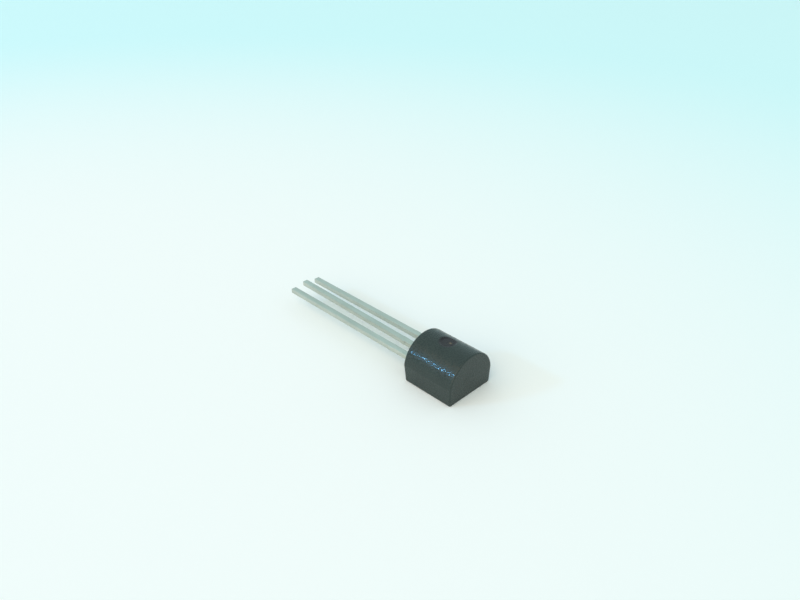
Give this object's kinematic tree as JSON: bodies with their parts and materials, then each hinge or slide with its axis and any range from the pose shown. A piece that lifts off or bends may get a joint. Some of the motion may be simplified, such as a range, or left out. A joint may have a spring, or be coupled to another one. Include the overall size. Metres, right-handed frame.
{
  "type": "to-92 transistor",
  "caption": "Small leaded transistor: moulded plastic case, flat in front and round behind, with straight tinned leads in a row out of one end.",
  "frame": {"origin": "on the flat face, half way along the case and half way across it", "axes": "+X along the case away from the leads, which point to -X; +Z from the flat face to the crown of the round half; +Y towards the base lead"},
  "size_m": [0.0191, 0.0044, 0.0034],
  "materials": {
    "case_epoxy": "moulded black epoxy with a fine eroded texture",
    "tinned_lead": "matt tin plate, slightly dulled",
    "silicon": "polished silicon",
    "die_solder": "solder",
    "gold_wire": "drawn gold wire"
  },
  "bodies": {
    "root": {"case": "case_epoxy", "lead_emitter": "tinned_lead", "lead_collector": "tinned_lead", "lead_base": "tinned_lead", "die": "silicon", "die_attach": "die_solder", "bond_wire_emitter": "gold_wire", "bond_wire_base": "gold_wire"}
  },
  "joints": []
}
